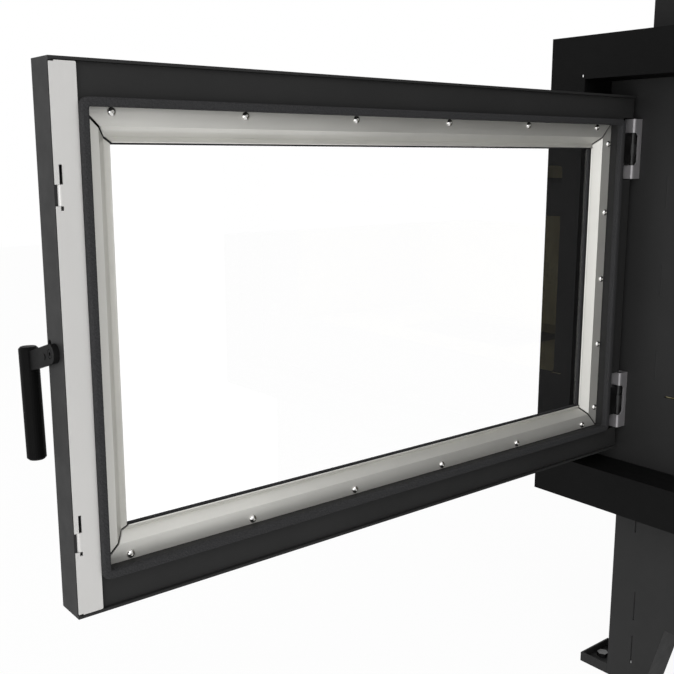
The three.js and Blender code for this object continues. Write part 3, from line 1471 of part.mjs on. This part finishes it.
place(doorLeaf, "door_gasket", doorGasket(), gasketRope);
place(doorLeaf, "door_glass", doorGlass(), clearGlass);
place(doorLeaf, "glass_seal", glassSeal(), gasketRope);
for (const side of ["left", "right", "top", "bottom"])
  place(doorLeaf, `glass_strip_${side}`, glassStrip(side), zinc);
place(doorLeaf, "lock_cover", lockCover(), zinc);
place(doorLeaf, "lock_bar", lockBar(), zinc);
place(handleGroup, "handle_arm", handleArm(), gripBlack);
place(handleGroup, "handle_grip", handleGrip(), gripBlack);
place(handleGroup, "drive_pin", drivePin(), hingeSteel);
place(handleGroup, "pivot_screw", pivotScrew(), hingeSteel);

// The origin is the middle of the footprint at rest, with the door open, on the floor.
const extent = new THREE.Box3().setFromObject(part);
const middle = extent.getCenter(new THREE.Vector3());
part.position.set(-middle.x, -middle.y, -extent.min.z);

export default part;
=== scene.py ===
import math

import bmesh
import bpy
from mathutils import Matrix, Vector


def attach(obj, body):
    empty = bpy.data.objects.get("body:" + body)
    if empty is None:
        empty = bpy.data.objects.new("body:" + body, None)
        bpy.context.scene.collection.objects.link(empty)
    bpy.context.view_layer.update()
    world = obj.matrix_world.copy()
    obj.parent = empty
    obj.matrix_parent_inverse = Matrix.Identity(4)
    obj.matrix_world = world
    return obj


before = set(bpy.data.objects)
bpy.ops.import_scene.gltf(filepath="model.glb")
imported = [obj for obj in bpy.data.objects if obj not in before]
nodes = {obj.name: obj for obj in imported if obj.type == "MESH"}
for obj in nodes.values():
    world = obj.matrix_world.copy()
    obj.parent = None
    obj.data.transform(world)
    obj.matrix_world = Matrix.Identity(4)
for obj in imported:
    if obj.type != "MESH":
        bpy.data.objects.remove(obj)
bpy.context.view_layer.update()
scene = bpy.context.scene
scene.view_settings.view_transform = "Standard"


# ---------------------------------------------------------------- camera
CAMERA_PLACE = (0.39688, -1.061125, 0.8814)
CAMERA_DOWN = 10.852  # degrees below level
CAMERA_TURN = 51.04  # degrees from +Y towards -X

camera_data = bpy.data.cameras.new("camera")
camera_data.lens = 50
camera_data.sensor_width = 36
camera_data.clip_start = 0.01
camera_data.clip_end = 50
camera = bpy.data.objects.new("camera", camera_data)
scene.collection.objects.link(camera)
camera.location = CAMERA_PLACE
camera.rotation_euler = (math.radians(90 - CAMERA_DOWN), 0, math.radians(CAMERA_TURN))
scene.camera = camera


# ---------------------------------------------------------------- materials
def linear(value):
    v = value / 255
    return v / 12.92 if v <= 0.04045 else ((v + 0.055) / 1.055) ** 2.4


def srgb(r, g, b):
    return (linear(r), linear(g), linear(b), 1)


class Nodes:
    """A material's node tree with a Principled shader, and short ways to add what feeds it."""

    def __init__(self, name):
        self.material = bpy.data.materials.new(name)
        self.material.use_nodes = True
        self.tree = self.material.node_tree
        self.shader = self.tree.nodes["Principled BSDF"]
        self.coords = self.add("ShaderNodeTexCoord").outputs["Object"]

    def add(self, kind, **settings):
        node = self.tree.nodes.new(kind)
        for key, value in settings.items():
            if hasattr(node, key):
                setattr(node, key, value)
            else:
                node.inputs[key].default_value = value
        return node

    def link(self, a, b):
        self.tree.links.new(a, b)

    def noise(self, scale, detail=3.0, stretch=(1, 1, 1), roughness=0.5):
        vector = self.coords
        if stretch != (1, 1, 1):
            mapping = self.add("ShaderNodeMapping")
            mapping.inputs["Scale"].default_value = stretch
            self.link(self.coords, mapping.inputs["Vector"])
            vector = mapping.outputs["Vector"]
        node = self.add("ShaderNodeTexNoise")
        node.inputs["Scale"].default_value = scale
        node.inputs["Detail"].default_value = detail
        node.inputs["Roughness"].default_value = roughness
        self.link(vector, node.inputs["Vector"])
        return node.outputs["Fac"]

    def ramp(self, source, stops):
        node = self.add("ShaderNodeValToRGB")
        elements = node.color_ramp.elements
        while len(elements) < len(stops):
            elements.new(0.5)
        for element, (position, color) in zip(elements, stops):
            element.position = position
            element.color = color
        self.link(source, node.inputs["Fac"])
        return node.outputs["Color"]

    def bump(self, source, strength, distance=0.001, after=None):
        node = self.add("ShaderNodeBump")
        node.inputs["Strength"].default_value = strength
        node.inputs["Distance"].default_value = distance
        self.link(source, node.inputs["Height"])
        if after is not None:
            self.link(after, node.inputs["Normal"])
        self.link(node.outputs["Normal"], self.shader.inputs["Normal"])
        return node.outputs["Normal"]


def scaled(color, k):
    return (min(color[0] * k, 1), min(color[1] * k, 1), min(color[2] * k, 1), 1)


def paint(name, color, roughness=0.55, grain=0.12, spread=0.06, specular=0.1):
    """Matt stove paint: faint clouding, a fine spray grain and a slightly uneven sheen."""
    m = Nodes(name)
    cloud = m.noise(9, 4)
    m.link(
        m.ramp(cloud, [(0.3, scaled(color, 1 - spread)), (0.7, scaled(color, 1 + spread))]),
        m.shader.inputs["Base Color"],
    )
    sheen = m.noise(60, 2)
    low, high = roughness - 0.04, roughness + 0.04
    m.link(
        m.ramp(sheen, [(0.3, (low, low, low, 1)), (0.7, (high, high, high, 1))]),
        m.shader.inputs["Roughness"],
    )
    m.shader.inputs["Specular IOR Level"].default_value = specular
    m.bump(m.noise(1500, 2), grain, 0.0004)
    return m.material


def metal(name, color, roughness=0.35, brushed=(1, 1, 1), grain=0.05, spread=0.05, metallic=1.0):
    """Bare or plated sheet: rolled or brushed streaks along one direction, with soft stains."""
    m = Nodes(name)
    cloud = m.noise(14, 4)
    m.link(
        m.ramp(cloud, [(0.3, scaled(color, 1 - spread)), (0.7, scaled(color, 1 + spread))]),
        m.shader.inputs["Base Color"],
    )
    m.shader.inputs["Metallic"].default_value = metallic
    streak = m.noise(420, 2, brushed)
    low, high = roughness - 0.05, roughness + 0.05
    m.link(
        m.ramp(streak, [(0.3, (low, low, low, 1)), (0.7, (high, high, high, 1))]),
        m.shader.inputs["Roughness"],
    )
    m.bump(streak, grain, 0.0003)
    return m.material


def rope_material():
    """Knitted glass-fibre rope: a slanted stitch and loose fibres."""
    m = Nodes("rope_fibre")
    color = srgb(50, 50, 51)
    fibre = m.noise(700, 3)
    m.link(
        m.ramp(fibre, [(0.3, scaled(color, 0.7)), (0.75, scaled(color, 1.35))]),
        m.shader.inputs["Base Color"],
    )
    m.shader.inputs["Roughness"].default_value = 0.95
    m.shader.inputs["Specular IOR Level"].default_value = 0.15
    wave = m.add("ShaderNodeTexWave", wave_type="BANDS", bands_direction="DIAGONAL")
    wave.inputs["Scale"].default_value = 130
    wave.inputs["Distortion"].default_value = 1.2
    m.link(m.coords, wave.inputs["Vector"])
    first = m.bump(wave.outputs["Fac"], 0.35, 0.0008)
    m.bump(fibre, 0.3, 0.0006, first)
    return m.material


def lining_material():
    """Pressed mineral board: pale olive with flakes and soft smoke stains."""
    m = Nodes("lining_board")
    flake = m.noise(260, 4)
    stain = m.noise(7, 5)
    base = m.ramp(
        flake,
        [(0.3, srgb(150, 142, 108)), (0.55, srgb(176, 168, 130)), (0.8, srgb(198, 190, 154))],
    )
    soot = m.ramp(stain, [(0.35, (0.72, 0.70, 0.66, 1)), (0.65, (1, 1, 1, 1))])
    mix = m.add("ShaderNodeMix", data_type="RGBA", blend_type="MULTIPLY")
    mix.inputs[0].default_value = 1
    m.link(base, mix.inputs[6])
    m.link(soot, mix.inputs[7])
    m.link(mix.outputs[2], m.shader.inputs["Base Color"])
    m.shader.inputs["Roughness"].default_value = 0.95
    m.bump(flake, 0.3, 0.0008)
    return m.material


def iron_material():
    m = Nodes("grate_iron")
    m.link(
        m.ramp(m.noise(40, 4), [(0.3, srgb(36, 35, 34)), (0.7, srgb(58, 56, 54))]),
        m.shader.inputs["Base Color"],
    )
    m.shader.inputs["Metallic"].default_value = 0.5
    m.shader.inputs["Roughness"].default_value = 0.75
    m.bump(m.noise(500, 4), 0.35, 0.0008)
    return m.material


def glass_material():
    """Clear coated ceramic glass: nothing taken from what is behind, a sharp reflection laid over it."""
    m = Nodes("door_glass")
    tree = m.tree
    tree.nodes.remove(m.shader)
    clear = m.add("ShaderNodeBsdfTransparent")
    clear.inputs["Color"].default_value = (1, 1, 1, 1)
    none = m.add("ShaderNodeBsdfTransparent")
    none.inputs["Color"].default_value = (0, 0, 0, 1)
    gloss = m.add("ShaderNodeBsdfGlossy")
    gloss.inputs["Roughness"].default_value = 0.015
    gloss.inputs["Color"].default_value = (1, 1, 1, 1)
    fresnel = m.add("ShaderNodeFresnel")
    fresnel.inputs["IOR"].default_value = 1.85
    outside = m.add("ShaderNodeNewGeometry")
    front = m.add("ShaderNodeMath", operation="SUBTRACT")
    front.inputs[0].default_value = 1.0
    m.link(outside.outputs["Backfacing"], front.inputs[1])
    share = m.add("ShaderNodeMath", operation="MULTIPLY")
    m.link(fresnel.outputs[0], share.inputs[0])
    m.link(front.outputs[0], share.inputs[1])
    sheen = m.add("ShaderNodeMixShader")
    m.link(share.outputs[0], sheen.inputs[0])
    m.link(none.outputs[0], sheen.inputs[1])
    m.link(gloss.outputs[0], sheen.inputs[2])
    both = m.add("ShaderNodeAddShader")
    m.link(clear.outputs[0], both.inputs[0])
    m.link(sheen.outputs[0], both.inputs[1])
    m.link(both.outputs[0], tree.nodes["Material Output"].inputs["Surface"])
    return m.material


FRAME = paint("frame_black", srgb(17, 17, 17), 0.6, specular=0.05)
FRONT = paint("front_plate_paint", srgb(42, 42, 42), 0.6)
STEEL = paint("firebox_steel", srgb(46, 46, 46), 0.65, 0.2, 0.12)
BODY = paint("body_grey", srgb(47, 47, 47), 0.6)
JACKET = paint("jacket_dark", srgb(35, 35, 35), 0.6, specular=0.08)
DOOR = paint("door_paint", srgb(43, 43, 43), 0.55)
HANDLE = paint("handle_black", srgb(13, 13, 13), 0.5, 0.1, 0.05, 0.04)
ARM = paint("handle_arm_black", srgb(20, 20, 20), 0.5, 0.1, 0.05, 0.04)
ROPE = rope_material()
LINING = lining_material()
IRON = iron_material()
GLASS = glass_material()
ALONG_Y = (1, 0.03, 1)  # streaks of rolled sheet
ALONG_Z = (1, 1, 0.03)
COVER = metal("lock_cover_zinc", srgb(199, 198, 196), 0.42, ALONG_Z, 0.015, 0.015, 0.3)
STRIP_LONG = metal("strip_steel_long", srgb(212, 211, 206), 0.42, ALONG_Y, 0.02, 0.03, 0.55)
STRIP_TALL = metal("strip_steel_tall", srgb(205, 204, 199), 0.42, ALONG_Z, 0.02, 0.03, 0.55)
ZINC = metal("zinc_plate", srgb(200, 200, 198), 0.4, (1, 1, 0.1), 0.05, 0.06)
HINGE = metal("hinge_steel", srgb(158, 156, 158), 0.38, (1, 1, 0.1), 0.05, 0.06, 0.55)
PIN = metal("hinge_pin_dark", srgb(60, 60, 60), 0.5, (1, 1, 1), 0.05, 0.08)
BOLT = metal("bolt_dark", srgb(90, 90, 90), 0.4, (1, 1, 1), 0.05, 0.1)
SCREW = metal("screw_bright", srgb(215, 214, 212), 0.16, (1, 1, 1), 0.02, 0.04)


def dress(material, *names):
    for name in names:
        data = nodes[name].data
        data.materials.clear()
        data.materials.append(material)


FEET = [f"{end}_{side}" for side in ("left", "right") for end in ("front", "back")]
dress(FRAME, "trim_frame")
dress(FRONT, "front_plate")
dress(
    STEEL,
    "firebox_shell",
    "smoke_dome",
    "hearth_plate",
    "flame_deflector",
    "flue_collar",
    "air_box",
)
dress(LINING, "hearth_board", "lining_left", "lining_right", "lining_back", "baffle_board")
dress(IRON, "fire_grate")
dress(
    ZINC,
    "ash_pan",
    "air_spigot",
    "keeper_bottom",
    "keeper_top",
    "lock_bar",
    "lock_guide_bottom",
    "lock_guide_top",
)
dress(BOLT, *[f"foot_bolt_{foot}" for foot in FEET])
dress(COVER, "lock_cover")
dress(
    BODY,
    "pedestal_front",
    "pedestal_left",
    "pedestal_right",
    "pedestal_back",
    "pedestal_deck",
    *[f"foot_{foot}" for foot in FEET],
)
dress(JACKET, "jacket_wrap", "jacket_front", "jacket_top")
dress(HINGE, "hinge_bracket_bottom", "hinge_bracket_top", "air_slide")
dress(PIN, "hinge_pin_bottom", "hinge_pin_top", "hinge_lug_bottom", "hinge_lug_top")
dress(DOOR, "door_shell", "door_inner_plate")
dress(ROPE, "door_gasket", "glass_seal")
dress(GLASS, "door_glass")
dress(STRIP_LONG, "glass_strip_top", "glass_strip_bottom")
dress(STRIP_TALL, "glass_strip_left", "glass_strip_right")
dress(HANDLE, "handle_grip", "air_knob")
dress(ARM, "handle_arm", "pivot_screw", "drive_pin")

# Folded sheet has slightly eased edges, widths in metres; round faces are shaded smooth.
SMOOTH_BELOW = math.radians(32)
EASE_ABOVE = math.radians(50)
EASED = {
    "trim_frame": 0.0006,
    "front_plate": 0.0004,
    "door_shell": 0.0005,
    "handle_arm": 0.0006,
    "lock_cover": 0.0002,
    "jacket_front": 0.0004,
    "jacket_wrap": 0.0004,
    "jacket_top": 0.0004,
    "pedestal_front": 0.0004,
    "pedestal_left": 0.0004,
    "pedestal_right": 0.0004,
    "pedestal_back": 0.0004,
    "keeper_bottom": 0.0002,
    "keeper_top": 0.0002,
}
for name, obj in nodes.items():
    obj.data.shade_smooth()
    obj.data.set_sharp_from_angle(angle=SMOOTH_BELOW)
    if name in EASED:
        bevel = obj.modifiers.new("eased_edges", "BEVEL")
        bevel.width = EASED[name]
        bevel.segments = 2
        bevel.limit_method = "ANGLE"
        bevel.angle_limit = EASE_ABOVE
        bevel.harden_normals = True


# ---------------------------------------------------------------- screws of the glass strips
DOOR_LENGTH = 934.5  # millimetres, as is all of this section unless it says otherwise
DOOR_RIM_X = -463.25
DOOR_END_Y = -707.125
DOOR_LOW_Z = 414
SCREW_SEAT = -15.9  # face of the strips' flange, off the rim plane
LONG_FIRST, LONG_PITCH, LONG_COUNT = 68.6, 157.75, 6
LONG_ROWS = (511.7, 48.3)
SHORT_MIDDLE, SHORT_PITCH, SHORT_COUNT = 280, 103.85, 5
SHORT_ROWS = (47.0, 894.4)
SCREW_TURN = 0.7  # radians from one screw's socket to the next


def door_point(u, n, z):
    """A point of the open door, from its hinge end, rim plane and lower edge, in metres."""
    return Vector((DOOR_RIM_X + n, DOOR_END_Y + DOOR_LENGTH - u, DOOR_LOW_Z + z)) / 1000


def lathe(name, rings, steps=24):
    """A closed turned piece along +X, from rings (axial, radius) or (axial, radius, sides)."""
    work = bmesh.new()
    loops = []
    for ring in rings:
        axial, radius = ring[0], ring[1]
        sides = ring[2] if len(ring) > 2 else 0
        loop = []
        for i in range(steps):
            angle = 2 * math.pi * i / steps
            reach = radius
            if sides:
                sector = math.pi / sides
                reach = radius * math.cos(sector) / math.cos((angle % (2 * sector)) - sector)
            loop.append(work.verts.new((axial, reach * math.cos(angle), reach * math.sin(angle))))
        loops.append(loop)
    for a, b in zip(loops, loops[1:]):
        for i in range(steps):
            j = (i + 1) % steps
            work.faces.new((a[i], a[j], b[j], b[i]))
    work.faces.new(list(reversed(loops[0])))
    work.faces.new(loops[-1])
    bmesh.ops.recalc_face_normals(work, faces=work.faces)
    mesh = bpy.data.meshes.new(name)
    work.to_mesh(mesh)
    work.free()
    mesh.shade_smooth()
    mesh.set_sharp_from_angle(angle=math.radians(38))
    return mesh


# A button head with a hexagon socket, 9.4 mm across and 3 mm high, on the strip's flange.
# Its dome is an arc from 18 degrees up in steps of 9; lengths here are in metres.
DOME_FROM, DOME_STEP, DOME_RINGS = 18, 9, 7
DOME_SIN, DOME_COS, DOME_SPAN = 0.309, 0.951, 0.642  # of its first angle, and what the sine gains
dome = []
for i in range(DOME_RINGS):
    angle = math.radians(DOME_FROM + i * DOME_STEP)
    dome.append(
        (0.00062 + 0.0026 * (math.sin(angle) - DOME_SIN) / DOME_SPAN, 0.0047 * math.cos(angle) / DOME_COS)
    )
skirt = [(0.00002, 0.0046), (0.0003, 0.0047), (0.0006, 0.0047)]
socket = [(0.00318, 0.0019), (0.00312, 0.00165, 6), (0.0019, 0.0016, 6), (0.0016, 0.0004)]
screw_mesh = lathe("strip_screw", [*skirt, *dome[1:], *socket])
screw_mesh.materials.append(SCREW)
screw_places = []
for i in range(LONG_COUNT):
    for z in LONG_ROWS:
        screw_places.append((DOOR_LENGTH - LONG_FIRST - i * LONG_PITCH, z))
for i in range(SHORT_COUNT):
    for u in SHORT_ROWS:
        screw_places.append((u, SHORT_MIDDLE + (i - SHORT_COUNT // 2) * SHORT_PITCH))
for count, (u, z) in enumerate(screw_places):
    screw = bpy.data.objects.new(f"strip_screw_{count + 1:02d}", screw_mesh)
    scene.collection.objects.link(screw)
    screw.location = door_point(u, SCREW_SEAT, z)
    screw.rotation_euler = (SCREW_TURN * count, 0, 0)
    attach(screw, "door")


# ---------------------------------------------------------------- tape round the pane, its edge a line of painted shade under the strips' lips
LIPS_LOW = Vector((-0.63738, 0.49195))  # where the strips' lips end, as y and z in metres
LIPS_HIGH = Vector((0.15073, 0.89605))
PANE_FACE = -0.49265


def pane_tape_and_lip_shade():
    """The woven tape between the pane and the four strips. Its edge shows past their lips as a dark line
    of painted shade, standing in for the shaded underside of the lips; the tape itself is a real part.
    """
    # Each corner of its section, in millimetres: how far past the lips, and how far off the pane. The 1.9
    # mm past the lips is the dark line of painted shade.
    section = [
        (-5.5, 0.02),
        (1.9, 0.02),
        (1.9, 1.1),
        (1.5, 1.4),
        (-2.9, 1.4),
        (-2.9, 0.25),
        (-5.5, 0.25),
    ]
    work = bmesh.new()
    loops = []
    for past, off in section:
        a, x = past / 1000, PANE_FACE + off / 1000
        corners = [
            (LIPS_LOW.x + a, LIPS_LOW.y + a),
            (LIPS_HIGH.x - a, LIPS_LOW.y + a),
            (LIPS_HIGH.x - a, LIPS_HIGH.y - a),
            (LIPS_LOW.x + a, LIPS_HIGH.y - a),
        ]
        loops.append([work.verts.new((x, y, z)) for y, z in corners])
    for a, b in zip(loops, loops[1:] + loops[:1]):
        for i in range(4):
            j = (i + 1) % 4
            work.faces.new((a[i], a[j], b[j], b[i]))
    bmesh.ops.recalc_face_normals(work, faces=work.faces)
    mesh = bpy.data.meshes.new("pane_tape_and_lip_shade")
    work.to_mesh(mesh)
    work.free()
    # the dark fibre colour on the edge past the lips is painted shade for the lips' underside
    mesh.materials.append(ROPE)
    obj = bpy.data.objects.new("pane_tape_and_lip_shade", mesh)
    scene.collection.objects.link(obj)
    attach(obj, "door")


pane_tape_and_lip_shade()


# ---------------------------------------------------------------- stage and light
FLOOR_HALF = 9
FLOOR_LEVEL = 1.0
FLOOR_GLOW = 0.94  # share of plain white in what the camera sees of the floor
WORLD_LEVEL = 0.7


def looked_at(tree):
    """1 for camera, glossy and transmission rays, which see the plain white, and 0 for the rest."""
    path = tree.nodes.new("ShaderNodeLightPath")
    value = path.outputs["Is Camera Ray"]
    for ray in ("Is Glossy Ray", "Is Transmission Ray"):
        either = tree.nodes.new("ShaderNodeMath")
        either.operation = "MAXIMUM"
        tree.links.new(value, either.inputs[0])
        tree.links.new(path.outputs[ray], either.inputs[1])
        value = either.outputs[0]
    return value


def ground_material(name, level):
    """White to the camera and in reflections, with the object's shadow kept faintly."""
    material = bpy.data.materials.new(name)
    material.use_nodes = True
    tree = material.node_tree
    tree.nodes.clear()
    out = tree.nodes.new("ShaderNodeOutputMaterial")
    diffuse = tree.nodes.new("ShaderNodeBsdfDiffuse")
    diffuse.inputs["Color"].default_value = (level, level, level, 1)
    glow = tree.nodes.new("ShaderNodeEmission")
    glow.inputs["Color"].default_value = (1, 1, 1, 1)
    glow.inputs["Strength"].default_value = 1.0
    share = tree.nodes.new("ShaderNodeMath")
    share.operation = "MULTIPLY"
    share.inputs[1].default_value = FLOOR_GLOW
    mix = tree.nodes.new("ShaderNodeMixShader")
    tree.links.new(looked_at(tree), share.inputs[0])
    tree.links.new(share.outputs[0], mix.inputs[0])
    tree.links.new(diffuse.outputs[0], mix.inputs[1])
    tree.links.new(glow.outputs[0], mix.inputs[2])
    tree.links.new(mix.outputs[0], out.inputs["Surface"])
    return material


floor_mesh = bpy.data.meshes.new("floor")
floor_corners = [(x * FLOOR_HALF, y * FLOOR_HALF, 0) for x, y in ((-1, -1), (1, -1), (1, 1), (-1, 1))]
floor_mesh.from_pydata(floor_corners, [], [(0, 1, 2, 3)])
floor = bpy.data.objects.new("floor", floor_mesh)
scene.collection.objects.link(floor)
floor_mesh.materials.append(ground_material("floor_white", FLOOR_LEVEL))

world = bpy.data.worlds.new("studio")
scene.world = world
world.use_nodes = True
tree = world.node_tree
background = tree.nodes["Background"]
seen = tree.nodes.new("ShaderNodeBackground")
seen.inputs["Color"].default_value = (1, 1, 1, 1)
seen.inputs["Strength"].default_value = 1.0
background.inputs["Color"].default_value = (1, 1, 1, 1)
background.inputs["Strength"].default_value = WORLD_LEVEL
mix = tree.nodes.new("ShaderNodeMixShader")
tree.links.new(looked_at(tree), mix.inputs[0])
tree.links.new(background.outputs[0], mix.inputs[1])
tree.links.new(seen.outputs[0], mix.inputs[2])
tree.links.new(mix.outputs[0], tree.nodes["World Output"].inputs["Surface"])


def lamp(name, place, target, size, power):
    """A square lamp of that side in metres and power in watts, turned towards the target."""
    data = bpy.data.lights.new(name, "AREA")
    data.shape = "SQUARE"
    data.size = size
    data.energy = power
    obj = bpy.data.objects.new(name, data)
    scene.collection.objects.link(obj)
    obj.location = place
    obj.rotation_euler = (Vector(target) - Vector(place)).to_track_quat("-Z", "Y").to_euler()


lamp("key", (2.2, -2.2, 3.2), (-0.1, -0.1, 0.7), 2.5, 43)
lamp("side", (-2.4, -2.8, 0.9), (-0.2, -0.1, 0.6), 2.0, 8)
lamp("fill", (0.7, -2.3, 0.6), (-0.05, 0.6, 0.68), 1.2, 14)
